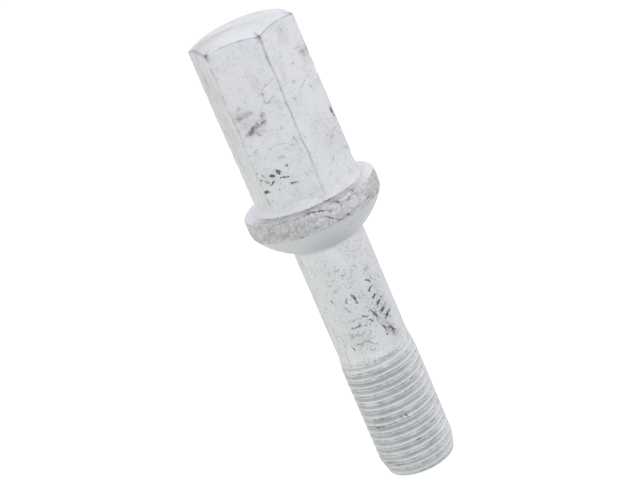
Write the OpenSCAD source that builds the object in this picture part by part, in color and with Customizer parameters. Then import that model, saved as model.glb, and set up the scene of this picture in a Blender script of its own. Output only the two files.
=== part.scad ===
// Wheel bolt: one forged steel piece, standing on its thread end with the head up.
// The axis is Z, and the origin is the centre of the flat thread end.

/* [Hexagon head] */
// Width across the flats of the hexagon
across_flats = 17; // [14:0.5:21]
// Width across the corners, a little under the sharp hexagon's because the edges are worn
across_corners = 19.42; // [16:0.01:24.2]
// Height of the head, from the top of the collar to its flat end
head_h = 31.4; // [10:0.1:45]
// Diameter of the flat in the middle of the head's end
crown_flat_d = 11.9; // [6:0.1:13]
// Radius of the domed crown round that flat
crown_r = 22.5; // [15:0.5:60]

/* [Flare under the flats] */
// Diameter of the round root, where the flats run out above the collar
root_d = 19.9; // [18:0.1:22]
// Height of the straight step at the foot of the root
root_step_h = 0.3; // [0.1:0.05:1]
// Slope of the root's cone, measured from the collar's top
root_slope = 45; // [30:1:60]

/* [Collar and ball seat] */
// Diameter of the collar
collar_d = 24.2; // [22:0.1:28]
// Height of the collar's rim, from its top down to the ball seat
rim_h = 3.25; // [1.5:0.05:6]
// Radius of the rim's upper edge
rim_edge_r = 0.5; // [0.2:0.05:1]
// Radius of the ball seat, which centres the wheel
seat_r = 14; // [13:0.1:16]
// Radius of the fillet between the ball seat and the shank
seat_fillet_r = 0.8; // [0.3:0.1:2]

/* [Shank and thread] */
// Length under the ball seat, down to the thread end
shank_l = 45; // [25:0.5:70]
// Diameter of the plain shank, which is the blank that the thread is rolled on
shank_d = 13; // [12.8:0.05:13.3]
// Outside diameter of the thread
thread_d = 13.86; // [13.7:0.01:14]
// Length of the full thread, its point included
thread_l = 21; // [10:0.5:22]
// Length over which the thread fades out into the shank
runout_l = 3; // [1.5:0.1:4]
// Length of the tapered point
point_l = 3; // [1:0.1:4]
// Diameter that the point's taper would have at the thread end
point_d = 12.1; // [11:0.05:13]
// Radius of the edge round the thread end
point_edge_r = 0.9; // [0.3:0.05:1.5]

/* [Quality] */
// Sides of a full circle
$fn = 128; // [48:16:256]

/* [Hidden] */

// Heights above the thread end. The rim starts where the ball reaches the collar's side,
// or at the ball's widest circle if the collar is wider than that.
ball_z = shank_l + sqrt(pow(seat_r, 2) - pow(shank_d / 2, 2));
rim_low_z = ball_z - sqrt(max(0, pow(seat_r, 2) - pow(collar_d / 2, 2)));
collar_top_z = rim_low_z + rim_h;
head_top_z = collar_top_z + head_h;

// The crown's sphere passes through the edge of the end flat
crown_z = head_top_z - sqrt(pow(crown_r, 2) - pow(crown_flat_d / 2, 2));

// The root's cone rises past the flats, so that they cut it in scallops
root_rise = (root_d - across_flats) / 2 * tan(root_slope);
cone_spare = 0.4;

// The fillet's circle touches the shank's side and the ball from outside, and is cut this much larger
// so that it leaves no sliver where it touches
touch_spare = 0.002;
fillet_x = shank_d / 2 + seat_fillet_r;
fillet_z = ball_z - sqrt(pow(seat_r + seat_fillet_r, 2) - pow(fillet_x, 2));

// The point's rounded edge touches its taper and the flat end
taper_angle = atan((thread_d - point_d) / 2 / point_l);
edge_run = point_edge_r * tan((90 - taper_angle) / 2);
edge_x = point_d / 2 - edge_run;

// The hexagon's corner to corner size before its edges were worn
sharp_corners = across_flats / cos(30);

// Hexagon with one flat facing -Y, its corners trimmed, under a domed crown
module hexagon_head() {
    intersection() {
        translate([0, 0, rim_low_z])
            linear_extrude(head_top_z - rim_low_z)
                circle(d = sharp_corners, $fn = 6);
        translate([0, 0, rim_low_z])
            cylinder(d = across_corners, h = head_top_z - rim_low_z);
        translate([0, 0, crown_z])
            sphere(r = crown_r);
    }
}

// Short step and cone that the flats run out into
module flare() {
    translate([0, 0, rim_low_z])
        cylinder(d = root_d, h = rim_h + root_step_h);
    translate([0, 0, collar_top_z + root_step_h])
        cylinder(d1 = root_d, d2 = root_d - 2 * (root_rise + cone_spare) / tan(root_slope),
                 h = root_rise + cone_spare);
}

// Half section of the collar's rim, with its rounded upper edge
module collar_section() {
    side = collar_d / 2;
    translate([0, rim_low_z])
        square([side, rim_h - rim_edge_r]);
    translate([0, rim_low_z])
        square([side - rim_edge_r, rim_h]);
    translate([side - rim_edge_r, collar_top_z - rim_edge_r])
        circle(r = rim_edge_r);
}

// Half section of the ball seat, cut off at the collar's side; it reaches up inside the rim
module seat_section() {
    intersection() {
        translate([0, ball_z])
            circle(r = seat_r);
        translate([0, ball_z - seat_r])
            square([collar_d / 2, collar_top_z - rim_edge_r - ball_z + seat_r]);
    }
}

// Half section of the fillet that leads from the shank into the ball seat.
// The line from its centre to the ball's centre passes through the point where the two touch.
module fillet_section() {
    difference() {
        polygon([[0, fillet_z], [fillet_x, fillet_z], [0, ball_z]]);
        translate([fillet_x, fillet_z])
            circle(r = seat_fillet_r + touch_spare);
    }
}

// Half section of the shank, the thread at its outside diameter and the rounded point
module stem_section() {
    polygon([
        [0, 0],
        [edge_x, 0],
        [edge_x + point_edge_r * cos(taper_angle), point_edge_r * (1 - sin(taper_angle))],
        [thread_d / 2, point_l],
        [thread_d / 2, thread_l],
        [shank_d / 2, thread_l + runout_l],
        [shank_d / 2, rim_low_z],
        [0, rim_low_z]
    ]);
    translate([edge_x, point_edge_r])
        circle(r = point_edge_r);
}

module wheel_bolt() {
    color("#C9CDD1") {
        hexagon_head();
        flare();
        rotate_extrude() {
            collar_section();
            seat_section();
            fillet_section();
            stem_section();
        }
    }
}

wheel_bolt();
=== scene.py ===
"""A wheel bolt with a tall hexagon head, a ball seat and a rolled thread, standing on its thread end."""

import math

import bmesh
import bpy
import numpy as np
from mathutils import Matrix, Vector


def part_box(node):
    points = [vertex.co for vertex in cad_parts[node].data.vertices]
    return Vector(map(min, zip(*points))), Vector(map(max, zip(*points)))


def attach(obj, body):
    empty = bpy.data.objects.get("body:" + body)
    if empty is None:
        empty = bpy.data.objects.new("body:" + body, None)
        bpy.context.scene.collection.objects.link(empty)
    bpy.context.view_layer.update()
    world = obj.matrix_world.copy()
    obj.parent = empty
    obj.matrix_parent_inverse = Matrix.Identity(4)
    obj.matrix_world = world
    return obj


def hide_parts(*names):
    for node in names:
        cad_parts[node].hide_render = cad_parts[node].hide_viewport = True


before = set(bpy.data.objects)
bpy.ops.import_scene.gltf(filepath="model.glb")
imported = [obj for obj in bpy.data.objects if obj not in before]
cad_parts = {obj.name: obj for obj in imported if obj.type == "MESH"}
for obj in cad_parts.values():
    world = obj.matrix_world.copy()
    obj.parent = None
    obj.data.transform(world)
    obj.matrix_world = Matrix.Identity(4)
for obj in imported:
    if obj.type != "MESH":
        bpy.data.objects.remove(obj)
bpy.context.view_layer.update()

# Camera
# It looks a little down on the standing bolt and is rolled, so that the bolt leans across the picture
# with its head at the upper left. Distances are in metres.
view_turn = math.radians(15)
view_tilt = math.radians(16.87)
view_roll = math.radians(23.28)
lens_mm = 119.27
sensor_mm = 36
stand_off = 0.3624
collar_top_height = 0.0536
collar_left_of_middle = 0.00205
collar_above_middle = 0.00821

back = Vector(
    (
        math.sin(view_turn) * math.cos(view_tilt),
        -math.cos(view_turn) * math.cos(view_tilt),
        math.sin(view_tilt),
    )
)
level_right = Vector((math.cos(view_turn), math.sin(view_turn), 0))
level_up = back.cross(level_right)
right = math.cos(view_roll) * level_right - math.sin(view_roll) * level_up
up = math.sin(view_roll) * level_right + math.cos(view_roll) * level_up
collar_middle = Vector((0, 0, collar_top_height))
eye = collar_middle + collar_left_of_middle * right - collar_above_middle * up + stand_off * back

camera_data = bpy.data.cameras.new("camera")
camera_data.lens = lens_mm
camera_data.sensor_width = sensor_mm
camera = bpy.data.objects.new("camera", camera_data)
camera.matrix_world = Matrix.Translation(eye) @ Matrix((right, up, back)).transposed().to_4x4()
bpy.context.scene.collection.objects.link(camera)
bpy.context.scene.camera = camera
bpy.context.scene.view_settings.view_transform = "Standard"


# Floor and light
# White paper sheet under soft boxes: low ones in front and at both sides, one over the bolt, and a
# high one behind it. The sheet shows white and takes the bolt's shadow.
def linear(hex_colour):
    """Colour from an sRGB hex value: a channel c becomes c/12.92 if small, else ((c+0.055)/1.055)^2.4."""
    channels = np.array([int(hex_colour[i : i + 2], 16) for i in (1, 3, 5)]) / 255
    bright = ((channels + 0.055) / 1.055) ** 2.4
    return (*np.where(channels <= 0.04045, channels / 12.92, bright), 1)


def add_node(tree, kind, settings, sockets, output=0):
    """Adds a node, sets its properties, gives each socket a value or a link, and returns one output."""
    made = tree.nodes.new(kind)
    for name, value in settings.items():
        setattr(made, name, value)
    for name, value in sockets.items():
        if isinstance(value, bpy.types.NodeSocket):
            tree.links.new(value, made.inputs[name])
        else:
            made.inputs[name].default_value = value
    return made.outputs[output] if made.outputs else None


larger = {"operation": "MAXIMUM"}


def seen_directly(tree):
    """1 for a ray from the camera, off a glossy surface or through a clear one, and 0 for other light."""
    from_camera = add_node(tree, "ShaderNodeLightPath", {}, {}, "Is Camera Ray")
    off_gloss = add_node(tree, "ShaderNodeLightPath", {}, {}, "Is Glossy Ray")
    through = add_node(tree, "ShaderNodeLightPath", {}, {}, "Is Transmission Ray")
    either = add_node(tree, "ShaderNodeMath", larger, {0: from_camera, 1: off_gloss})
    return add_node(tree, "ShaderNodeMath", larger, {0: either, 1: through})


paper_colour = linear("#A8A8A8")
paper_glow = 0.85
room_light = 0.43
sheet_half_width = 3

world = bpy.data.worlds.new("white_room")
world.use_nodes = True
world.node_tree.nodes.clear()
strength = add_node(
    world.node_tree,
    "ShaderNodeMapRange",
    {},
    {"Value": seen_directly(world.node_tree), "To Min": room_light, "To Max": 1.0},
)
sky = add_node(world.node_tree, "ShaderNodeBackground", {}, {"Color": (1, 1, 1, 1), "Strength": strength})
add_node(world.node_tree, "ShaderNodeOutputWorld", {}, {"Surface": sky})
bpy.context.scene.world = world

paper = bpy.data.materials.new("white_paper_sheet")
paper.use_nodes = True
paper.node_tree.nodes.clear()
matt = add_node(paper.node_tree, "ShaderNodeBsdfDiffuse", {}, {"Color": paper_colour})
glow = add_node(paper.node_tree, "ShaderNodeEmission", {}, {"Strength": paper_glow})
lit_and_glowing = add_node(paper.node_tree, "ShaderNodeAddShader", {}, {0: matt, 1: glow})
chosen = add_node(
    paper.node_tree,
    "ShaderNodeMixShader",
    {},
    {0: seen_directly(paper.node_tree), 1: matt, 2: lit_and_glowing},
)
add_node(paper.node_tree, "ShaderNodeOutputMaterial", {}, {"Surface": chosen})

sheet_mesh = bpy.data.meshes.new("paper_sheet")
sheet_mesh.from_pydata(
    [(x * sheet_half_width, y * sheet_half_width, 0) for x, y in ((-1, -1), (1, -1), (1, 1), (-1, 1))],
    [],
    [(0, 1, 2, 3)],
)
sheet_mesh.materials.append(paper)
sheet = bpy.data.objects.new("paper_sheet", sheet_mesh)
bpy.context.scene.collection.objects.link(sheet)

bolt_middle_height = 0.045
soft_box_width = 0.45
soft_box_distance = 0.62


def add_soft_box(name, turn_degrees, rise_degrees, power, hex_colour):
    """A square area lamp turned towards the middle of the bolt. Seen from there, it stands at that turn
    about the vertical, 0 along X, and at that angle above the level."""
    lamp = bpy.data.lights.new(name, "AREA")
    lamp.size = soft_box_width
    lamp.energy = power
    lamp.color = linear(hex_colour)[:3]
    turn, rise = math.radians(turn_degrees), math.radians(rise_degrees)
    way = Vector((math.cos(rise) * math.cos(turn), math.cos(rise) * math.sin(turn), math.sin(rise)))
    place = Vector((0, 0, bolt_middle_height)) + soft_box_distance * way
    holder = bpy.data.objects.new(name, lamp)
    holder.matrix_world = Matrix.Translation(place) @ way.to_track_quat("Z", "Y").to_matrix().to_4x4()
    bpy.context.scene.collection.objects.link(holder)


add_soft_box("front_box", -75, 5, 1.45, "#F9FCFF")
add_soft_box("right_box", 10, 8, 0.95, "#FFFAFF")
add_soft_box("left_box", -165, 10, 1.06, "#FFFDF6")
add_soft_box("top_box", -75, 87, 1.0, "#F9F8FF")
add_soft_box("back_right_box", 45, 45, 0.52, "#F6F6FF")


# Wheel bolt: the surface
# One cold forged and thread rolled piece of steel. Its skin is a stack of closed rings from the middle
# of the head's end down to the middle of the thread end. From here on all sizes are in millimetres.
_, bolt_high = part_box("wheel_bolt")
head_top = bolt_high.z * 1000
head_length = 31.4
half_flats = 8.5
hexagon_side = 2 * half_flats * math.tan(math.radians(30))
corner_round = 0.68
corner_round_added_at_top = 0.95
corner_round_top_depth = 1.3
corner_round_fade = 1.5
crown_flat_radius = 5.95
crown_flat_round = 0.4
crown_radius = 22.5
crown_middle = head_top - math.sqrt(crown_radius**2 - crown_flat_radius**2)
crown_edge_round = 0.32
collar_top = head_top - head_length
root_radius = 9.95
root_step = 0.16
root_step_round = 0.06
root_step_foot_round = 0.12
root_fillet = 0.18
rim_radius = 11.95
rim_bulge = 0.14
rim_edge_round = 0.45
rim_foot_round = 0.12
seat_radius = 14.0
shank_radius = 6.5
seat_fillet = 0.8
length_under_seat = 45
seat_middle = length_under_seat + math.sqrt(seat_radius**2 - shank_radius**2)
rim_low = seat_middle - math.sqrt(seat_radius**2 - rim_radius**2)
fillet_middle_radius = shank_radius + seat_fillet
fillet_middle = seat_middle - math.sqrt((seat_radius + seat_fillet) ** 2 - fillet_middle_radius**2)
pitch = 1.5
crest_radius = 6.93
crest_width = 0.78
groove_width = 0.12
groove_radius = crest_radius - (pitch - crest_width - groove_width) / 2 * math.tan(math.radians(60))
groove_turn = math.radians(-35)
fold_depth = 0.09
fold_width = 0.11
fold_below_middle = 0.15
thread_edge_round = 0.05
thread_full = 21.0
thread_end = 24.0
point_height = 3.0
point_foot_radius = 6.05
point_edge_round = 0.9
point_groove_share = 0.75
point_slope = math.atan((crest_radius - point_foot_radius) / point_height)
end_flat_radius = point_foot_radius - point_edge_round * math.tan((math.pi / 2 - point_slope) / 2)
point_foot = 0.25
columns_per_face = 48
columns_halve_at = 40.0
front_turn = math.radians(-90)
seam_turn = front_turn - math.radians(150)


def column_angles(per_face):
    """Angles round the axis from the seam at a back corner. From a corner to the middle of its face the
    angle is the mean of the column's share and that share squared, so columns crowd at the corners."""
    share = np.arange(per_face) / (per_face / 2)
    off_corner = np.minimum(share, 2 - share)
    eased = (off_corner + off_corner**2) / 2
    in_face = np.where(share <= 1, eased, 2 - eased) * math.radians(30)
    return (seam_turn + np.arange(6)[:, None] * math.radians(60) + in_face[None, :]).ravel()


def hexagon(angles, rounding):
    """Radius of a hexagon with rounded corners: half the flats over the cosine of the angle from the
    face's middle, and round a corner the far side of the rounding circle."""
    across = (angles - front_turn + math.radians(30)) % math.radians(60) - math.radians(30)
    flat = half_flats / np.cos(across)
    circle_middle = (half_flats - rounding) / math.cos(math.radians(30))
    off_corner = math.radians(30) - np.abs(across)
    chord = np.maximum(rounding**2 - (circle_middle * np.sin(off_corner)) ** 2, 0)
    arc = circle_middle * np.cos(off_corner) + np.sqrt(chord)
    touch = np.arctan(circle_middle / 2 / half_flats)
    return np.where(np.abs(across) < touch, flat, arc)


def corner_rounding(height):
    """Rounding of the hexagon's corners, largest at the crown, where the forging die filled least."""
    depth = np.maximum(head_top - corner_round_top_depth - height, 0)
    return corner_round + corner_round_added_at_top * np.exp(-depth / corner_round_fade)


def ring(radius, height):
    """One ring as its radius and height at every angle; either may be one number."""
    level = np.zeros_like(angles)
    return np.stack([radius + level, height + level])


def straight(start, end, count):
    """Rings on the straight way from start up to, but without, the end."""
    share = (np.arange(count) / count)[:, None, None]
    return start * (1 - share) + end * share


def bend(start, corner, end, count):
    """Rings on the curve that starts towards the corner and arrives from it: the quadratic curve
    (1-s)^2 start + 2s(1-s) corner + s^2 end, without its end."""
    share = (np.arange(count) / count)[:, None, None]
    return start * (1 - share) ** 2 + corner * 2 * share * (1 - share) + end * share**2


def crown_height(radius):
    """Height of the crown's sphere over a radius."""
    return crown_middle + np.sqrt(crown_radius**2 - radius**2)


def seat_radius_at(height):
    """Radius of the ball seat's sphere at a height."""
    return np.sqrt(seat_radius**2 - (seat_middle - height) ** 2)


fine_angles = column_angles(columns_per_face)
angles = fine_angles

# The head, the collar, the ball seat and the top of the shank, from the top down
crown_corner_rounding = corner_rounding(crown_height(half_flats + 0.5))
crown_edge_radius = hexagon(angles, crown_corner_rounding)
crown_edge = ring(crown_edge_radius, crown_height(crown_edge_radius))
crown_last_radius = crown_edge_radius - crown_edge_round
crown_last = ring(crown_last_radius, crown_height(crown_last_radius))
crown_first_radius = crown_flat_radius + crown_flat_round
crown_first = ring(crown_first_radius, crown_height(crown_first_radius))
flat_last = ring(crown_flat_radius - crown_flat_round, head_top)
crown_share = (np.arange(12) / 12)[:, None]
crown_rings = crown_first[0] * (1 - crown_share) + crown_last[0] * crown_share
flats_top = crown_edge[1] - crown_edge_round

root_foot_radius = hexagon(angles, corner_round)
cone_run = root_radius - root_foot_radius
root_foot = collar_top + root_step + cone_run
root_reach = np.minimum(root_fillet, 0.6 * cone_run)
flats_low = root_foot + root_reach
flats_share = (np.arange(52) / 52)[:, None]
flats_height = flats_top * (1 - flats_share) + flats_low * flats_share
flats_radius = hexagon(angles, corner_rounding(flats_height))

cone_top = ring(root_foot_radius + root_reach * 0.7, root_foot - root_reach * 0.7)
cone_low = ring(root_radius - root_step_round, collar_top + root_step + root_step_round)
step_top = ring(root_radius, collar_top + 0.7 * root_step)
step_low = ring(root_radius, collar_top + 0.3 * root_step)
ledge_in = ring(root_radius + root_step_foot_round, collar_top)
ledge_out = ring(rim_radius - rim_edge_round, collar_top)
rim_first = ring(rim_radius + 0.02, collar_top - rim_edge_round)
rim_last = ring(rim_radius, rim_low + rim_foot_round)
rim_share = np.arange(14)[:, None, None] / 14
rim_rings = rim_first * (1 - rim_share) + rim_last * rim_share
rim_rings[:, 0] += rim_bulge * 4 * (rim_share * (1 - rim_share))[:, :, 0]
ball_top = rim_low - rim_foot_round
ball_first = ring(seat_radius_at(ball_top), ball_top)
ball_foot = seat_middle - (seat_middle - fillet_middle) * seat_radius / (seat_radius + seat_fillet)
ball_share = (np.arange(18) / 18)[:, None]
ball_height = ball_top * (1 - ball_share) + ball_foot * ball_share + 0 * angles
fillet_start = math.acos(fillet_middle_radius / (seat_radius + seat_fillet))
fillet_turn = fillet_start * (1 - np.arange(6) / 6)[:, None]
fillet_radius = fillet_middle_radius - seat_fillet * np.cos(fillet_turn) + 0 * angles
fillet_height = fillet_middle + seat_fillet * np.sin(fillet_turn) + 0 * angles

fine_rings = np.concatenate(
    [
        straight(ring(0, head_top), flat_last, 8),
        bend(flat_last, ring(crown_flat_radius, head_top), crown_first, 4),
        np.stack([crown_rings, crown_height(crown_rings)], 1),
        bend(crown_last, crown_edge, ring(flats_radius[0], flats_top), 6),
        np.stack([flats_radius, flats_height], 1),
        bend(ring(flats_radius[-1], flats_low), ring(root_foot_radius, root_foot), cone_top, 5),
        straight(cone_top, cone_low, 5),
        bend(cone_low, ring(root_radius, collar_top + root_step), step_top, 3),
        straight(step_top, step_low, 1),
        bend(step_low, ring(root_radius, collar_top), ledge_in, 3),
        straight(ledge_in, ledge_out, 6),
        bend(ledge_out, ring(rim_radius, collar_top), rim_first, 5),
        rim_rings,
        bend(rim_last, ring(rim_radius, rim_low), ball_first, 3),
        np.stack([seat_radius_at(ball_height), ball_height], 1),
        np.stack([fillet_radius, fillet_height], 1),
        straight(ring(shank_radius, fillet_middle), ring(shank_radius, columns_halve_at), 6),
        ring(shank_radius, columns_halve_at)[None],
    ]
)


def point_outline(height):
    """Radius of the rounded point at a height: the end's edge circle, then its cone."""
    edge_height = point_edge_round * (1 - math.sin(point_slope))
    circle = np.sqrt(np.maximum(point_edge_round**2 - (point_edge_round - height) ** 2, 0))
    cone = point_foot_radius + (crest_radius - point_foot_radius) * height / point_height
    return np.where(height < edge_height, end_flat_radius + circle, cone)


def below_crest(height, turn):
    """Distance in millimetres down to this place from the middle of the thread's nearest crest, negative
    above it. The groove meets the level of the thread end at its own angle and climbs with the turn."""
    phase = (height / pitch - (turn + seam_turn - groove_turn) / math.tau - 0.5) % 1
    return np.where(phase < 0.5, -phase, 1 - phase) * pitch


def run_out(height):
    """0 in the full thread, 1 above the run-out, and the share of the height between."""
    return np.clip((height - thread_full) / (thread_end - thread_full), 0, 1)


def crests_at(height):
    """Radius of the crests at a height: over the run-out it goes down evenly to the shank's."""
    return crest_radius - (crest_radius - shank_radius) * run_out(height)


def thread_radius(height, turn):
    """The thread at a height and a turn from the seam. Over the run-out its crests go down to the shank,
    while its groove, with flanks 60 degrees apart, moves out of it. The lower of the two counts, rounded
    by s log(1 + exp(-d / s)) for their difference d. Where the flow of metal up both flanks met when the
    thread was rolled, the crest has a shallow fold. On the point the crests follow its outline, and the
    grooves between them are three quarters as deep, down to the rounded edge, where they end."""
    from_crest = below_crest(height, turn)
    outside = crests_at(height)
    from_groove_floor = pitch / 2 - np.abs(from_crest) - groove_width / 2
    flank_rise = from_groove_floor * math.tan(math.radians(60))
    groove = groove_radius + thread_edge_round * np.log1p(np.exp(flank_rise / thread_edge_round))
    groove = groove + (crest_radius - groove_radius + 0.2) * run_out(height) ** 3
    form = outside - thread_edge_round * np.log1p(np.exp(-(groove - outside) / thread_edge_round))
    fold = np.exp(-(((from_crest - fold_below_middle) / fold_width) ** 2))
    form = form - fold_depth * fold * (1 - run_out(height))
    kept_depth = point_groove_share * np.clip((height - point_foot) / point_edge_round, 0, 1)
    on_point = np.minimum(point_outline(height), outside) - kept_depth * (outside - form)
    return np.minimum(form, on_point)


# The rest of the shank, the thread and the point, with half as many columns. A thread row's phase is how
# far it lies below a crest, as a share of the pitch, and the rows crowd at the crest.
crest_phases = np.array([0.0, 0.04, 0.08, 0.12, 0.16, 0.20, 0.24, 0.28, 0.35, 0.43])
row_phases = np.concatenate([crest_phases, [0.5], 1 - crest_phases[:0:-1]])
turns_up = math.ceil(thread_end / pitch)
turns_down = math.ceil(1 - point_foot / pitch)
row_turns = np.arange(turns_up + 1, -turns_down - 1, -1)
crest_at_seam = 0.5 + (seam_turn - groove_turn) / math.tau
thread_rows = (row_turns[:, None] - row_phases[None, :]).ravel() + crest_at_seam
rows_a_turn = len(row_phases)

angles = fine_angles[::2]
turn = (angles - seam_turn)[None, :]
thread_height = np.clip(pitch * (thread_rows[:, None] + turn / math.tau), point_foot, thread_end)
end_turn = (np.arange(6) / 6)[:, None]
end_height = point_foot * (1 - end_turn) ** 2 + 0 * angles

shank_rings = straight(ring(shank_radius, columns_halve_at), ring(shank_radius, thread_end), 30)[1:]
thread_rings = np.stack([thread_radius(thread_height, turn), thread_height], 1)
point_rings = np.concatenate(
    [
        np.stack([point_outline(end_height), end_height], 1)[1:],
        straight(ring(end_flat_radius, 0), ring(0, 0), 8),
        ring(0, 0)[None],
    ]
)


def skin(first, rings, columns, lead=0):
    """Quads between neighbouring rings, as vertex numbers. Past the last column a ring goes on as the
    ring that is lead places above it, which is how a thread climbs by its pitch in one turn."""
    number = first + np.arange(rings * columns).reshape(rings, columns)
    following = np.roll(number, -1, axis=1)
    following[:, -1] = number[np.maximum(np.arange(rings) - lead, 0), 0]
    return np.stack([number[:-1], number[1:], following[1:], following[:-1]], -1).reshape(-1, 4)


def skin_to_half(fine_first, coarse_first, columns):
    """Triangles between a ring and the next one with half as many columns: three to each coarse column."""
    coarse = np.arange(columns // 2)
    left = fine_first + 2 * coarse
    middle = left + 1
    far = fine_first + (2 * coarse + 2) % columns
    low = coarse_first + coarse
    low_far = coarse_first + (coarse + 1) % (columns // 2)
    faces = [(left, low, middle), (middle, low, low_far), (middle, low_far, far)]
    return np.stack([np.stack(face, -1) for face in faces], 1).reshape(-1, 3)


def around(angles):
    """Distance round the bolt in millimetres, 0 at the middle of the front face: whole sides of the
    hexagon, then half the flats times the tangent of the angle from the face's middle."""
    face = np.floor((angles - front_turn) / math.radians(60) + 0.5)
    return hexagon_side * face + half_flats * np.tan(angles - front_turn - face * math.radians(60))


fine_columns = len(fine_angles)
coarse_columns = len(angles)
coarse_rings = np.concatenate([shank_rings, thread_rings, point_rings])
fine_count = len(fine_rings) * fine_columns
thread_first = fine_count + len(shank_rings) * coarse_columns
point_first = thread_first + (len(thread_rings) - 1) * coarse_columns
quads = np.concatenate(
    [
        skin(0, len(fine_rings), fine_columns),
        skin(fine_count, len(shank_rings) + 1, coarse_columns),
        skin(thread_first, len(thread_rings), coarse_columns, rows_a_turn),
        skin(point_first, len(point_rings) + 1, coarse_columns),
    ]
)
triangles = skin_to_half(fine_count - fine_columns, fine_count, fine_columns)


def points_of(rings, ring_angles):
    """Points of the rings, in millimetres."""
    radius, height = rings[:, 0], rings[:, 1]
    return np.stack([radius * np.cos(ring_angles), radius * np.sin(ring_angles), height], -1).reshape(-1, 3)


points = np.concatenate([points_of(fine_rings, fine_angles), points_of(coarse_rings, angles)])
bolt_mesh = bpy.data.meshes.new("wheel_bolt_skin")
bolt_mesh.from_pydata(points / 1000, [], quads.tolist() + triangles.tolist())

# The unrolled surface as a map: distance round the bolt and height, both in millimetres. Where a face
# ends at the seam, its far corners lie a whole turn on.
whole_turn = 6 * hexagon_side
point_around = np.concatenate(
    [
        np.tile(around(fine_angles), len(fine_rings)),
        np.tile(around(angles), len(coarse_rings)),
    ]
)
corner_maps = []
for corners in (quads, triangles):
    along = point_around[corners]
    along = np.where(along.max(1, keepdims=True) - along > whole_turn / 2, along + whole_turn, along)
    corner_maps.append(np.stack([along, points[corners][:, :, 2]], -1).reshape(-1, 2))
unrolled = bolt_mesh.uv_layers.new(name="unrolled")
unrolled.uv.foreach_set("vector", np.concatenate(corner_maps).astype(np.float32).ravel())

# Each pole and each clipped end of the thread rows becomes one point or one ring
merging = bmesh.new()
merging.from_mesh(bolt_mesh)
bmesh.ops.remove_doubles(merging, verts=merging.verts, dist=1e-7)
merging.to_mesh(bolt_mesh)
merging.free()
bolt_mesh.shade_smooth()


# Wheel bolt: handling marks
# The bolt was forged, tumbled and coated in bulk, so its edges carry small nicks, its collar's rim is rough
# and dirty, and the coat has chips and black specks. They are fields over the surface, and some of them
# also hold painted shade and painted light.
def waves(places, size, seed):
    """Smooth noise with mean 0 and spread 1: a sum of 40 plane waves of about that length, with random
    directions and phases."""
    count = 40
    random = np.random.default_rng(seed)
    direction = random.normal(size=(count, 3))
    direction /= np.linalg.norm(direction, axis=1, keepdims=True)
    wave = direction * (math.tau / size / random.uniform(0.7, 1.6, (count, 1)))
    phase = random.uniform(0, math.tau, count)
    return np.cos(places @ wave.T + phase).sum(1) * math.sqrt(2 / count)


def near(distance, width):
    """1 at no distance, and the bell curve exp(-(distance/width)^2) away from it."""
    return np.exp(-((distance / width) ** 2))


def soft_patches(patches):
    """Sum of soft elliptical patches: the strength of each times the bell curve of the distance from its
    middle, in half widths and half heights."""
    total = np.zeros(len(place))
    for patch_around, patch_height, half_width, half_height, strength in patches:
        across, along = (spread - patch_around) / half_width, (height - patch_height) / half_height
        total += strength * near(np.hypot(across, along), 1)
    return total


point_count = len(bolt_mesh.vertices)
place = np.zeros(point_count * 3, np.float32)
bolt_mesh.vertices.foreach_get("co", place)
place = place.reshape(-1, 3).astype(float) * 1000
radius = np.hypot(place[:, 0], place[:, 1])
height = place[:, 2]
turned = (np.arctan2(place[:, 1], place[:, 0]) - seam_turn) % math.tau + seam_turn
spread = around(turned)

edge_here = hexagon(turned, crown_corner_rounding)
from_crown_edge = np.hypot(radius - edge_here, height - crown_height(edge_here))
beside_corner = spread % hexagon_side - hexagon_side / 2
from_corner = np.abs(beside_corner)
on_flats = np.clip((height - root_foot.min()) * 2, 0, 1) * np.clip((head_top - height) * 2, 0, 1)
on_flats *= radius > half_flats - 0.3
from_rim_top = np.hypot(radius - rim_radius, height - collar_top + 0.15)
from_rim_low = np.hypot(radius - rim_radius, height - rim_low)
on_rim = np.clip((collar_top - 0.1 - height) * 4, 0, 1) * np.clip((height - rim_low + 0.2) * 3, 0, 1)
on_rim *= radius > rim_radius - 0.4
on_shank = (height < fillet_middle + 2) & (height > thread_end - 1)
in_thread = np.clip(thread_end - height, 0, 1) * np.clip(height / 0.5, 0, 1)
crest = in_thread * np.clip((radius - shank_radius) / (crest_radius - shank_radius), 0, 1)
from_step_foot = np.hypot(radius - root_radius, height - collar_top)
fold_line_width = 0.10
below_fold = below_crest(height, turned - seam_turn) - fold_below_middle
fold = near(below_fold + 0.06, fold_line_width) * in_thread
fold *= (1 - run_out(height)) * (radius > np.minimum(crest_radius, point_outline(height)) - 0.25)
crests_here = np.minimum(crests_at(height), point_outline(height))
groove_share = np.clip((crests_here - radius) / (crest_radius - groove_radius), 0, 1)

slow = waves(place, 7.0, 11)
middling = waves(place, 2.2, 12)
quick = waves(place, 0.9, 13)

# Dirt in the edges, from 0 to 1, in lines of these half widths; the line in the step's foot is partly
# painted shade, and the one where the flats meet the cone is a faint darker line. The corners are numbered
# from the seam round, and on the front right one the line fades towards its foot.
corner_line_width = 0.19
crown_line_width = 0.17
step_line_width = 0.25
scallop_line_width = 0.10
corner_strengths = np.array([0.3, 0.35, 0.25, 0.32, 0.38, 0.3])
front_right_corner = 3
step_foot_dirt_and_shade_strength = 0.18
ledge_shade_strength = 0.31
scallop_strength = 0.09
corner_number = np.clip(np.round(spread / hexagon_side - 0.5) + 3, 0, 5).astype(int)
off_line = beside_corner + 0.11 * waves(place, 4.0, 16) + 0.05 * quick
corner_line = near(off_line, corner_line_width) * on_flats
corner_line *= corner_strengths[corner_number] * np.clip(1 + 0.2 * middling + 0.25 * quick, 0.4, 1.8)
corner_line *= np.where(corner_number == front_right_corner, np.interp(height, (56, 60), (0.35, 1)), 1)
crown_line = near(from_crown_edge, crown_line_width) * np.clip(0.5 + 0.08 * middling, 0.2, 1)
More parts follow.
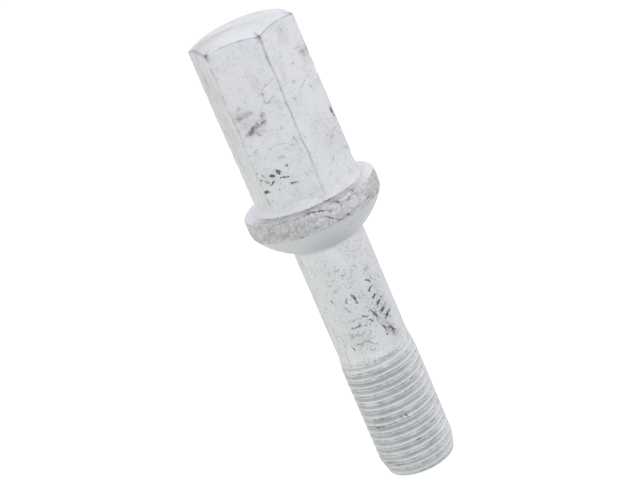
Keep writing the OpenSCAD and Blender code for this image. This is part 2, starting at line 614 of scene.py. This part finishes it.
# The rough rim is dirty all round, and is painted darker on its left and lighter on its right, as shade and
# light from the side
rim_level = np.interp(spread, (-14, -6, 0, 3.5, 7, 12, 20), (0.10, 0.18, 0.20, 0.03, 0.0, 0.11, 0.10))
rim_dirt_and_shade = on_rim * np.clip(rim_level + 0.02 * slow + 0.03 * middling + 0.05 * quick, 0, 1)
# A dark line in the corner at the step's foot: partly dirt, partly painted shade
step_foot_dirt_and_shade = step_foot_dirt_and_shade_strength * near(from_step_foot, step_line_width)
# Painted shade on the front of the ledge, where the head keeps off the light from behind
in_front = np.interp(spread, (-10, -6, 8, 13), (0, 1, 1, 0))
on_ledge = near(height - collar_top, 0.15) * (radius > root_radius)
ledge_painted_shade = ledge_shade_strength * in_front * on_ledge * (radius < rim_radius)
above_cone = radius + height - (collar_top + root_step + root_radius)
on_cone = (height > collar_top + 0.1) * np.clip((0.16 - above_cone) / 0.12, 0, 1)
# A film on the cone, with painted shade added on its right
cone_film_and_shade = on_cone * (0.10 + 0.05 * near(spread - 8.0, 4.0))
scallop_line = scallop_strength * near(above_cone - 0.10, scallop_line_width)
scallop_line *= (height > collar_top + 0.6) * (radius < root_radius)
on_crown = (height > flats_top.min()) * (radius < half_flats + 0.9)
# On the crown: painted shade on its left, a little darkening on its right and a darker spot near the middle
# of its end
crown_film_and_shade = 0.18 * near(spread + 9.8, 4.0) + 0.06 * near(spread - 9.0, 4.0)
crown_film_and_shade += 0.08 * near(np.hypot(place[:, 0] + 1.2, place[:, 1] + 1.5), 1.6)
on_ball = (height < rim_low) & (height > fillet_middle)
# Painted shade on the front of the ball seat, which faces down under the collar
ball_painted_shade = 0.06 * on_ball * near(spread - 4.0, 4.0)
# Darker along the crests' fold: partly dirt, partly painted shade in the crease
fold_dirt_and_shade = fold * np.clip(0.44 + 0.13 * middling + 0.14 * quick, 0, 1)

# Dirty patches: distance round from the front face's middle, height, half width, half height, strength
head_patches = [
    (4.85, 83.2, 0.6, 0.6, 0.42),
    (-4.85, 83.2, 0.7, 0.6, 0.55),
    (14.6, 83.2, 0.4, 0.5, 0.3),
    (4.9, 79.5, 0.3, 2.6, 0.15),
    (4.9, 71.0, 0.25, 4.5, 0.1),
    (-2.2, 69.0, 1.6, 0.9, 0.15),
    (-3.2, 72.0, 1.3, 1.2, 0.12),
    (-1.5, 70.8, 2.4, 2.2, 0.08),
    (-3.0, 60.2, 1.8, 1.2, 0.14),
    (13.2, 77.4, 1.1, 1.1, 0.25),
    (10.5, 82.0, 1.6, 1.4, 0.06),
    (6.8, 75.1, 0.6, 1.2, 0.10),
    (11.0, 62.5, 3.0, 3.0, 0.10),
    (-9.8, 72.0, 4.5, 14.0, 0.10),
    (-10.4, 79.0, 0.5, 1.4, 0.22),
    (0.0, 57.0, 4.5, 2.5, 0.05),
]
shank_patches = [
    (3.4, 36.5, 3.0, 3.2, 0.05),
    (3.5, 31.0, 4.2, 3.6, 0.07),
    (8.6, 29.0, 1.8, 4.5, 0.15),
    (-0.8, 27.3, 2.4, 1.6, 0.12),
    (-1.0, 36.0, 2.0, 3.0, 0.03),
    (-5.5, 36.0, 3.0, 7.0, 0.03),
    (9.5, 35.5, 2.2, 5.5, 0.06),
]
far_patches = [
    (-20.5, 70.0, 2.2, 3.0, 0.20),
    (-26.0, 60.5, 1.8, 1.6, 0.30),
    (22.0, 74.0, 1.6, 2.2, 0.25),
    (29.0, 64.5, 1.6, 2.6, 0.20),
    (-22.0, 33.5, 3.4, 3.6, 0.20),
    (24.0, 31.5, 2.8, 3.2, 0.22),
]
# Real dirt and painted shade, added together into one field
grime_and_shade = corner_line + crown_line + rim_dirt_and_shade + step_foot_dirt_and_shade + fold_dirt_and_shade + ledge_painted_shade
grime_and_shade += on_crown * crown_film_and_shade + ball_painted_shade + cone_film_and_shade + scallop_line
grime_and_shade += soft_patches(head_patches + far_patches) * (on_flats > 0)
grime_and_shade += soft_patches(shank_patches + far_patches) * on_shank
grime_and_shade = np.clip(grime_and_shade, 0, 1)
rough = np.clip(on_rim + near(from_rim_low, 0.4) + near(from_rim_top, 0.3), 0, 1)

# Where the rolled thread is darker: a little dull dirt all over it, and painted shade, most in the groove
# and least on its right side, where light from the right falls
shade_by_side = np.interp(spread, (-14, -9, 6.5, 13.5), (0.7, 1.0, 1.0, 0.2))
crest_dullness = 0.18
groove_shade = 0.62
dull_and_shaded = in_thread * (crest_dullness + groove_shade * groove_share) * shade_by_side
dull_and_shaded *= np.clip(1 + 0.1 * middling, 0, 1.3)

# Where fine specks lie: most on the shank, and few on the cone, the crown and the ball
peppered = np.where(on_shank, 1.0, 0.6) * np.where((on_cone > 0) | on_crown, 0.35, 1)
peppered *= np.where(on_ball, 0.5, 1)

# Where the forging die has drawn the skin out in streaks: on the left side
drawn = np.interp(spread, (-16, -13, -6, -4.5), (0.3, 1.0, 1.0, 0.15)) * (height < flats_top.min())
drawn *= (1 - rough) * (1 - on_cone)

# Painted light, with a slightly paler coat: brighter on the cone, which faces up into the light, at the
# ends of the ledge, which the side lamps reach, and, less, on the right of the rim
lit_and_pale = 0.5 * on_cone + 0.35 * on_rim * near(spread - 7.0, 3.0)
lit_and_pale += on_ledge * (radius < rim_radius - 0.1) * (1 - in_front)

# Where a thin film of oil turns the coat a little green: on the shank and low on the front face
oiled = np.interp(height, (50, 58, 72), (0.45, 0.4, 0.0)) * np.interp(spread, (4, 8), (1.0, 0.5))
oiled *= 1 - on_cone

# How deep the marks go into the surface
ripple_depth = 0.015
small_ripple_depth = 0.006
nick_depth = 0.10
rim_pit_depth = 0.05
crest_wear_depth = 0.05
chip_depth = 0.04
ripple = ripple_depth * (1 + np.tanh(slow)) + small_ripple_depth * (1 + np.tanh(middling))
nicks = near(from_corner, 0.5) * on_flats * np.clip(middling - 0.4, 0, 1.5)
nicks += near(from_crown_edge, 0.5) * np.clip(waves(place, 1.6, 14) - 0.5, 0, 1.5)
rim_pits = rough * np.clip(1 + 0.6 * middling + 0.8 * quick, 0, 3)
crest_wear = crest * np.clip(waves(place, 0.8, 15) - 0.2, 0, 2)
chips = np.clip(grime_and_shade - 0.3, 0, 1) * (1 + np.tanh(quick)) * (1 - in_thread)
depth = ripple + nick_depth * nicks + rim_pit_depth * rim_pits
depth += crest_wear_depth * crest_wear + chip_depth * chips

# The marks go inwards from the surface, and fade out at the thread end, on which the bolt stands
outward = np.zeros(point_count * 3, np.float32)
bolt_mesh.vertex_normals.foreach_get("vector", outward)
flush = np.clip(height / 0.4, 0, 1)
sunk = place - outward.reshape(-1, 3) * (depth * flush)[:, None]
bolt_mesh.vertices.foreach_set("co", (sunk / 1000).astype(np.float32).ravel())

# What the finish reads from the surface
fields = {
    "oiled": oiled,
    "grime_and_shade": grime_and_shade,
    "rough": rough,
    "dull_and_shaded": dull_and_shaded,
    "drawn": drawn,
    "peppered": peppered,
    "lit_and_pale": lit_and_pale,
}
for name, values in fields.items():
    layer = bolt_mesh.attributes.new(name, "FLOAT", "POINT")
    layer.data.foreach_set("value", values.astype(np.float32))
bolt_mesh.update()


# Wheel bolt: the finish
# Zinc flake coat, dipped, spun and baked on steel: pale grey metal flakes in a thin binder. It looks
# satin, almost like paint. Dirt darkens it in the edges, and where it is chipped, dark oxide shows. Painted
# shade darkens it in the thread's grooves, on the ledge's front and in the step's foot, and painted light
# brightens the cone and the ledge's ends.
plus = {"operation": "ADD"}
minus = {"operation": "SUBTRACT"}
times = {"operation": "MULTIPLY"}
times_plus = {"operation": "MULTIPLY_ADD"}
smooth = {"interpolation_type": "SMOOTHSTEP"}


def nearest_stroke(tree, level_place, strokes):
    """How far the nearest stroke is, 1 on its outline. Each stroke is an ellipse from one end to the
    other. The place is (round, height, 1), so that one dot product gives the way along the stroke from
    its middle, in half lengths, and another the way across it, in half widths. The squares of both are
    added, and the root is taken of the smallest sum."""
    dot = {"operation": "DOT_PRODUCT"}
    smallest = 99.0
    for (start_around, start_height), (end_around, end_height), width in strokes:
        run, rise = end_around - start_around, end_height - start_height
        turn = math.atan2(rise, run)
        middle = Vector((start_around + run / 2, start_height + rise / 2, 0))
        along = Vector((math.cos(turn), math.sin(turn), 0)) * 2 / (math.hypot(run, rise) + width)
        across = Vector((-math.sin(turn), math.cos(turn), 0)) * 2 / width
        squares = 0.0
        for direction in (along, across):
            direction.z = -direction.dot(middle)
            way = add_node(tree, "ShaderNodeVectorMath", dot, {0: level_place, 1: direction}, "Value")
            squares = add_node(tree, "ShaderNodeMath", times_plus, {0: way, 1: way, 2: squares})
        smallest = add_node(tree, "ShaderNodeMath", {"operation": "MINIMUM"}, {0: squares, 1: smallest})
    return add_node(tree, "ShaderNodeMath", {"operation": "SQRT"}, {0: smallest})


# Ends and width of each mark in millimetres: distance round from the front face's middle, and height
chipped_places = [
    # On the head
    ((-2.6, 60.9), (-2.2, 60.5), 0.54),
    ((-1.3, 61.2), (-0.9, 60.8), 0.58),
    ((0.7, 61.6), (0.8, 61.4), 0.22),
    ((-4.5, 60.7), (-4.4, 60.6), 0.22),
    ((-3.9, 61.2), (-3.8, 60.8), 0.18),
    ((-3.0, 59.4), (-2.5, 59.5), 0.28),
    ((-1.3, 59.9), (-0.7, 59.9), 0.22),
    ((-0.5, 59.9), (0.0, 59.7), 0.32),
    ((-4.5, 58.4), (-4.1, 58.3), 0.54),
    ((-2.3, 58.0), (-2.2, 58.0), 0.22),
    ((-1.4, 58.2), (-1.3, 58.2), 0.14),
    ((0.4, 58.4), (1.0, 58.3), 0.32),
    ((-4.5, 61.8), (-4.4, 62.0), 0.18),
    ((14.0, 66.4), (14.2, 65.0), 0.36),
    ((-5.1, 65.4), (-4.8, 65.2), 0.22),
    # On the rim
    ((1.3, 53.4), (2.4, 53.2), 0.18),
    # On the shank
    ((-2.9, 35.6), (-2.8, 35.5), 0.26),
    ((0.1, 34.6), (0.4, 34.8), 0.34),
    ((2.3, 35.4), (2.5, 34.9), 0.55),
    ((7.4, 36.8), (8.2, 36.3), 0.31),
    ((8.8, 36.7), (9.0, 36.4), 0.26),
    ((6.9, 34.9), (8.2, 35.3), 0.34),
    ((7.1, 33.4), (8.3, 33.7), 0.34),
    ((7.6, 31.9), (8.9, 32.5), 0.34),
    ((7.6, 30.6), (8.9, 31.0), 0.26),
    ((2.4, 31.4), (3.0, 31.0), 0.26),
    ((5.6, 30.7), (6.4, 31.0), 0.38),
    ((4.0, 30.3), (4.5, 29.7), 0.34),
    ((8.3, 29.1), (10.4, 29.7), 0.43),
    ((6.6, 28.4), (7.3, 27.4), 0.34),
    ((8.6, 27.3), (9.2, 26.4), 0.38),
    ((6.8, 26.3), (7.5, 26.3), 0.22),
    ((-0.8, 29.8), (1.4, 29.9), 0.26),
    ((-2.8, 26.4), (-2.5, 25.9), 0.31),
    ((5.9, 40.2), (6.1, 40.2), 0.17),
    ((6.1, 39.8), (6.2, 39.7), 0.17),
    ((5.3, 31.5), (5.8, 31.2), 0.24),
    ((6.0, 30.6), (6.2, 30.2), 0.26),
    ((8.8, 27.0), (9.0, 26.6), 0.26),
    ((-3.1, 35.5), (-2.9, 35.5), 0.30),
    ((1.8, 39.6), (2.0, 39.3), 0.22),
    ((8.0, 30.6), (8.9, 30.7), 0.30),
    # In the thread
    ((-6.4, 10.6), (-3.3, 10.6), 0.26),
    ((1.6, 11.5), (1.8, 11.2), 0.20),
    ((2.8, 11.5), (3.1, 11.2), 0.20),
]
dirty_and_shaded_places = [
    # On the head
    ((-3.1, 68.7), (-1.5, 69.5), 0.80),
    ((-1.8, 68.3), (-1.4, 68.0), 0.46),
    ((-0.3, 69.8), (0.1, 70.0), 0.64),
    ((-3.7, 59.9), (-3.4, 59.9), 0.30),
    # On the rim
    ((0.9, 53.6), (2.2, 53.3), 0.24),
    ((2.2, 53.3), (3.6, 52.7), 0.28),
    ((3.6, 52.6), (4.5, 52.1), 0.22),
    ((4.5, 53.6), (5.6, 53.4), 0.24),
    ((6.4, 52.6), (8.5, 53.0), 0.15),
    ((4.1, 50.2), (6.1, 50.2), 0.18),
    ((6.1, 50.2), (6.7, 50.2), 0.32),
    ((6.7, 50.5), (9.1, 50.7), 0.12),
    ((9.1, 50.7), (11.2, 51.0), 0.12),
    ((1.4, 50.8), (2.1, 50.6), 0.18),
    ((-1.2, 49.8), (-0.3, 49.8), 0.15),
    ((-3.5, 53.2), (-1.4, 53.4), 0.14),
    ((-1.2, 53.3), (1.0, 53.3), 0.18),
    ((4.4, 53.6), (5.8, 53.1), 0.20),
    ((5.6, 53.3), (5.9, 52.4), 0.20),
    ((6.9, 52.6), (7.5, 52.5), 0.26),
    ((8.1, 53.4), (8.7, 53.5), 0.20),
    ((8.4, 52.7), (8.7, 52.6), 0.30),
    ((2.9, 51.9), (4.5, 50.5), 0.20),
    # On the shank
    ((5.3, 31.7), (7.0, 29.2), 0.30),
    ((8.1, 29.8), (9.6, 28.7), 0.36),
    ((7.9, 27.3), (10.0, 25.8), 0.42),
    ((2.5, 34.1), (2.7, 33.9), 0.34),
    ((3.0, 30.9), (4.3, 31.0), 0.22),
    ((4.9, 31.6), (6.3, 31.0), 0.34),
    ((5.9, 30.2), (6.1, 29.1), 0.34),
    ((8.5, 26.2), (9.4, 25.5), 0.38),
    ((-1.2, 26.7), (1.8, 26.9), 0.30),
    ((1.4, 25.1), (2.0, 24.8), 0.34),
    ((9.3, 32.6), (9.8, 32.7), 0.22),
    ((9.6, 31.1), (10.4, 31.3), 0.22),
    ((2.1, 29.5), (2.6, 29.4), 0.22),
    ((1.0, 28.3), (1.5, 28.5), 0.22),
    ((-5.4, 27.0), (-4.8, 26.6), 0.12),
    ((1.8, 26.4), (2.6, 25.8), 0.22),
    ((6.6, 28.4), (7.2, 27.0), 0.36),
    ((8.5, 27.6), (9.2, 25.9), 0.50),
    ((7.6, 30.4), (9.0, 30.6), 0.44),
    ((5.1, 31.8), (6.5, 29.9), 0.50),
    # In the thread; the first five strokes are painted shade along the run-out's last groove
    ((-5.5, 23.1), (-1.6, 22.9), 0.12),
    ((-1.6, 22.8), (-0.4, 22.8), 0.28),
    ((0.4, 22.9), (1.4, 22.9), 0.30),
    ((2.8, 22.8), (6.6, 22.9), 0.24),
    ((6.6, 22.9), (9.2, 23.1), 0.12),
    ((-4.6, 11.9), (-0.8, 12.1), 0.22),
    ((-2.7, 13.4), (0.6, 13.4), 0.16),
    ((-7.0, 11.9), (-3.9, 12.1), 0.20),
    ((-7.0, 3.4), (-4.2, 3.6), 0.40),
    ((-5.4, 2.8), (-2.9, 2.7), 0.35),
]
hazy_places = [
    # On the head
    ((0.0, 70.7), (0.3, 71.4), 0.64),
    ((-4.0, 71.7), (-2.4, 71.9), 0.70),
    ((-1.8, 72.2), (-1.3, 72.0), 0.42),
    ((-3.1, 73.2), (-2.9, 73.4), 0.42),
    ((1.4, 74.5), (1.9, 74.4), 0.38),
    ((2.8, 73.2), (3.2, 73.4), 0.34),
    ((7.9, 73.9), (8.7, 73.8), 0.30),
    ((11.6, 71.6), (11.8, 71.4), 0.30),
    ((2.2, 68.0), (2.4, 67.9), 0.34),
    ((1.7, 64.2), (2.0, 64.1), 0.42),
    ((0.5, 63.3), (0.8, 63.1), 0.34),
    ((3.7, 65.8), (3.8, 64.9), 0.22),
    ((7.6, 57.1), (8.1, 57.2), 0.26),
    ((13.7, 59.3), (14.0, 58.9), 0.38),
    ((-11.8, 68.9), (-10.9, 68.4), 0.38),
    ((-10.1, 60.4), (-9.7, 60.0), 0.26),
    ((-4.8, 56.9), (-4.6, 55.8), 0.22),
    ((-3.9, 56.6), (-3.8, 56.5), 0.22),
    # On the shank
    ((1.9, 39.3), (2.1, 39.6), 0.38),
    ((3.5, 38.5), (4.1, 38.7), 0.26),
    ((3.2, 37.6), (3.9, 37.6), 0.22),
    ((-1.5, 37.0), (-0.1, 37.5), 0.34),
    ((11.6, 36.5), (11.8, 35.7), 0.26),
    ((-1.2, 28.3), (0.9, 28.3), 0.26),
    ((-1.5, 31.3), (0.2, 31.2), 0.26),
    ((-2.3, 38.4), (-1.5, 38.3), 0.22),
    ((-0.7, 34.0), (0.2, 32.8), 0.30),
    ((7.8, 38.0), (9.2, 38.7), 0.30),
    ((-2.5, 28.9), (-1.2, 28.7), 0.26),
]
scratches = [
    # On the head
    ((1.8, 74.8), (2.3, 75.4), 0.14),
    ((2.3, 75.4), (4.7, 76.3), 0.14),
    ((1.7, 74.4), (1.6, 72.7), 0.18),
    ((1.6, 72.6), (2.7, 73.0), 0.22),
    ((7.2, 71.3), (11.9, 73.3), 0.14),
    ((6.6, 71.7), (7.2, 71.3), 0.18),
    ((-1.1, 65.0), (-0.5, 65.4), 0.14),
    ((-0.5, 65.4), (0.8, 65.5), 0.14),
    ((0.8, 65.5), (2.4, 65.2), 0.14),
    ((2.7, 64.7), (3.1, 64.5), 0.18),
    ((-4.2, 65.1), (-2.9, 65.9), 0.14),
    ((11.4, 62.4), (13.9, 63.1), 0.18),
    ((10.8, 63.0), (11.8, 61.9), 0.14),
    ((9.6, 58.6), (10.4, 59.2), 0.18),
    ((10.4, 61.3), (12.1, 60.9), 0.14),
    ((-0.1, 58.5), (0.3, 58.5), 0.18),
    ((5.7, 65.0), (5.9, 64.5), 0.14),
    ((11.2, 78.6), (12.6, 78.2), 0.20),
    ((12.4, 77.2), (14.2, 77.4), 0.20),
    ((10.0, 83.0), (10.6, 82.2), 0.15),
    ((-10.6, 80.0), (-10.0, 77.7), 0.16),
    ((9.7, 76.6), (10.1, 76.4), 0.20),
    # On the shank
    ((7.8, 38.1), (8.0, 38.7), 0.14),
    ((4.0, 38.9), (4.3, 39.5), 0.14),
    ((-1.2, 35.2), (-1.0, 34.4), 0.14),
    ((4.3, 35.2), (5.2, 34.3), 0.10),
    ((5.2, 34.6), (5.8, 33.5), 0.10),
    ((0.6, 34.7), (0.9, 35.9), 0.14),
    ((2.3, 27.6), (3.1, 28.2), 0.14),
    ((-2.3, 27.9), (-1.2, 28.4), 0.14),
    ((-0.7, 28.5), (0.2, 29.2), 0.14),
]
coat_colour = linear("#E1E4E8")
coat_pale_colour = linear("#E7E6E9")
coat_thin_colour = linear("#DCDEE1")
rim_colour = linear("#D6D7D8")
rim_worn_colour = linear("#C0C1C2")
oiled_colour = linear("#DEE6E3")
lit_and_pale_colour = linear("#EBEAF0")
thread_dull_and_shade_colour = linear("#ADB3B5")
streak_colour = linear("#BDB7AC")
faint_mark_colour = linear("#A39EA1")
dirt_and_shade_colour = linear("#6A6766")
oxide_colour = linear("#4C4B4B")
relief_mm = 0.03

finish = bpy.data.materials.new("zinc_flake_coat_on_forged_steel")
finish.use_nodes = True
tree = finish.node_tree
tree.nodes.clear()
position = add_node(tree, "ShaderNodeTexCoord", {}, {}, "Object")
in_mm = add_node(tree, "ShaderNodeMapping", {}, {"Vector": position, "Scale": (1000, 1000, 1000)})
unrolled_place = add_node(tree, "ShaderNodeUVMap", {"uv_map": "unrolled"}, {})
field = {
    name: add_node(tree, "ShaderNodeAttribute", {"attribute_name": name}, {}, "Fac") for name in fields
}

# Noise from 0 to 1, by the size of its patches in millimetres: the flakes, fine specks, blots, the
# mottled binder, clouds of thicker coat and the long folds that the hairlines follow. The flakes are far
# smaller than this, and are drawn as coarse as they need to show.
patch_at_scale_1 = 0.6
noise = {}
for name, size_mm, detail in (
    ("grain", 0.25, 2),
    ("specks", 0.3, 2),
    ("blots", 0.7, 4),
    ("mottling", 1.6, 4),
    ("clouds", 4.5, 3),
    ("folds", 2.6, 3),
):
    scale = patch_at_scale_1 / size_mm
    sockets = {"Vector": in_mm, "Scale": scale, "Detail": detail, "Roughness": 0.58}
    noise[name] = add_node(tree, "ShaderNodeTexNoise", {}, sockets)

# Dirt and painted shade: a film that follows the grime and shade field, and dark specks where that field
# and noise together are high
blotchy = add_node(tree, "ShaderNodeMath", times_plus, {0: noise["blots"], 1: 1.6, 2: 0.2})
film_and_shade = add_node(tree, "ShaderNodeMath", times, {0: field["grime_and_shade"], 1: blotchy})
lift = add_node(tree, "ShaderNodeMath", times_plus, {0: noise["specks"], 1: 1.6, 2: -0.8})
dirt_level = add_node(tree, "ShaderNodeMath", plus, {0: film_and_shade, 1: lift})
dirt_speck = add_node(
    tree,
    "ShaderNodeMapRange",
    smooth,
    {"Value": dirt_level, "From Min": 0.6, "From Max": 1.0, "To Max": 0.7},
)

# Chips, dirty places, painted shade along a groove, and scratches: ragged strokes, whose places and
# outlines are stirred by noise
stir_size = 0.25
sockets = {"Vector": in_mm, "Scale": patch_at_scale_1 / stir_size, "Detail": 3.0}
stir = add_node(tree, "ShaderNodeTexNoise", {}, sockets, "Color")
shift = add_node(tree, "ShaderNodeVectorMath", minus, {0: stir, 1: (0.5, 0.5, 0.5)})
ragged_place = add_node(tree, "ShaderNodeVectorMath", plus, {0: unrolled_place, 1: shift})
level_place = add_node(
    tree,
    "ShaderNodeVectorMath",
    times_plus,
    {0: ragged_place, 1: (1, 1, 0), 2: (0, 0, 1)},
)
fray = add_node(tree, "ShaderNodeMath", times_plus, {0: noise["specks"], 1: 3.2, 2: -1.6})
marked = {}
for name, strokes, outside, inside, strength in (
    ("chip", chipped_places, 1.5, 0.55, 0.92),
    ("smudge_and_shade", dirty_and_shaded_places, 1.8, 0.4, 0.75),
    ("haze", hazy_places, 2.2, 0.2, 0.4),
    ("scratch", scratches, 1.5, 0.5, 0.4),
):
    away = nearest_stroke(tree, level_place, strokes)
    outline = add_node(tree, "ShaderNodeMath", plus, {0: away, 1: fray})
    sockets = {"Value": outline, "From Min": outside, "From Max": inside, "To Max": strength}
    marked[name] = add_node(tree, "ShaderNodeMapRange", smooth, sockets)
ground_in = add_node(tree, "ShaderNodeMath", larger, {0: marked["smudge_and_shade"], 1: marked["haze"]})
both = add_node(tree, "ShaderNodeMath", plus, {0: noise["blots"], 1: noise["specks"]})
crumbs = add_node(
    tree,
    "ShaderNodeMapRange",
    smooth,
    {"Value": both, "From Min": 0.85, "From Max": 1.15, "To Min": 0.45, "To Max": 1.2},
)
smudge_and_shade = add_node(tree, "ShaderNodeMath", times, {0: ground_in, 1: crumbs})

# Faint marks of handling: hairlines where a slow noise crosses its middle, and small grey specks
from_middle = add_node(tree, "ShaderNodeMath", minus, {0: noise["folds"], 1: 0.5})
off_hairline = add_node(tree, "ShaderNodeMath", {"operation": "ABSOLUTE"}, {0: from_middle})
line_share = add_node(
    tree,
    "ShaderNodeMapRange",
    smooth,
    {"Value": off_hairline, "From Min": 0.008, "From Max": 0.002, "To Max": 0.3},
)
patchy = add_node(
    tree, "ShaderNodeMapRange", smooth, {"Value": noise["blots"], "From Min": 0.52, "From Max": 0.62}
)
hairline = add_node(tree, "ShaderNodeMath", times, {0: line_share, 1: patchy})
more = add_node(tree, "ShaderNodeMath", times_plus, {0: field["grime_and_shade"], 1: 0.5, 2: noise["grain"]})
speck_share = add_node(
    tree, "ShaderNodeMapRange", smooth, {"Value": more, "From Min": 0.56, "From Max": 0.66, "To Max": 0.5}
)
in_patches = add_node(
    tree,
    "ShaderNodeMapRange",
    smooth,
    {"Value": noise["mottling"], "From Min": 0.38, "From Max": 0.54, "To Max": field["peppered"]},
)
tiny_speck = add_node(tree, "ShaderNodeMath", times, {0: speck_share, 1: in_patches})
faint_mark = add_node(tree, "ShaderNodeMath", larger, {0: hairline, 1: tiny_speck})

# Streaks up and down the flats
streak_width = 0.35
streak_length = 4.0
drawn_out = (patch_at_scale_1 / streak_width, patch_at_scale_1 / streak_length, 1)
streak_place = add_node(tree, "ShaderNodeMapping", {}, {"Vector": unrolled_place, "Scale": drawn_out})
streaky = add_node(tree, "ShaderNodeTexNoise", {}, {"Vector": streak_place, "Scale": 1.0, "Detail": 3.0})
streak_share = add_node(
    tree, "ShaderNodeMapRange", smooth, {"Value": streaky, "From Min": 0.45, "From Max": 0.7, "To Max": 0.4}
)
streak = add_node(tree, "ShaderNodeMath", times, {0: streak_share, 1: field["drawn"]})

# The colours, each laid over the ones before it by its share. A Mix node's sockets 6 and 7 and its output
# 2 are its colours.
pale = add_node(
    tree, "ShaderNodeMapRange", smooth, {"Value": noise["clouds"], "From Min": 0.38, "From Max": 0.62}
)
thin = add_node(
    tree, "ShaderNodeMapRange", smooth, {"Value": noise["mottling"], "From Min": 0.5, "From Max": 0.68}
)
fine = add_node(tree, "ShaderNodeMath", plus, {0: noise["grain"], 1: noise["specks"]})
worn = add_node(tree, "ShaderNodeMapRange", smooth, {"Value": fine, "From Min": 0.9, "From Max": 1.15})
worn_rim = add_node(tree, "ShaderNodeMath", times, {0: worn, 1: field["rough"]})
colour = coat_colour
for covered, covering in (
    (pale, coat_pale_colour),
    (thin, coat_thin_colour),
    (field["oiled"], oiled_colour),
    (streak, streak_colour),
    (field["dull_and_shaded"], thread_dull_and_shade_colour),
    (field["rough"], rim_colour),
    (worn_rim, rim_worn_colour),
    (field["lit_and_pale"], lit_and_pale_colour),
    (faint_mark, faint_mark_colour),
    (film_and_shade, dirt_and_shade_colour),
    (dirt_speck, dirt_and_shade_colour),
    (smudge_and_shade, dirt_and_shade_colour),
    (marked["scratch"], dirt_and_shade_colour),
    (marked["chip"], oxide_colour),
):
    sockets = {0: covered, 6: colour, 7: covering}
    colour = add_node(tree, "ShaderNodeMix", {"data_type": "RGBA"}, sockets, 2)

# Dirt is less metallic and rougher than the coat, and a little lower
dark = add_node(tree, "ShaderNodeMath", larger, {0: dirt_speck, 1: smudge_and_shade})
metal_share = add_node(tree, "ShaderNodeMath", times_plus, {0: dark, 1: -0.25, 2: 0.3})
dark_roughness = add_node(tree, "ShaderNodeMath", times_plus, {0: dark, 1: 0.2, 2: 0.48})
roughness = add_node(tree, "ShaderNodeMath", times_plus, {0: noise["grain"], 1: 0.14, 2: dark_roughness})
grain_height = add_node(tree, "ShaderNodeMath", times, {0: noise["grain"], 1: 0.5})
skin_height = add_node(tree, "ShaderNodeMath", times_plus, {0: noise["mottling"], 1: 0.8, 2: grain_height})
surface_height = add_node(tree, "ShaderNodeMath", times_plus, {0: dark, 1: -1.2, 2: skin_height})
sockets = {"Height": surface_height, "Distance": relief_mm / 1000, "Strength": 0.8}
bump = add_node(tree, "ShaderNodeBump", {}, sockets)
coated = add_node(
    tree,
    "ShaderNodeBsdfPrincipled",
    {},
    {"Base Color": colour, "Metallic": metal_share, "Roughness": roughness, "Normal": bump},
)
add_node(tree, "ShaderNodeOutputMaterial", {}, {"Surface": coated})

bolt_mesh.materials.append(finish)
bolt = bpy.data.objects.new("wheel_bolt_coated", bolt_mesh)
bpy.context.scene.collection.objects.link(bolt)
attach(bolt, "root")
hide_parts("wheel_bolt")
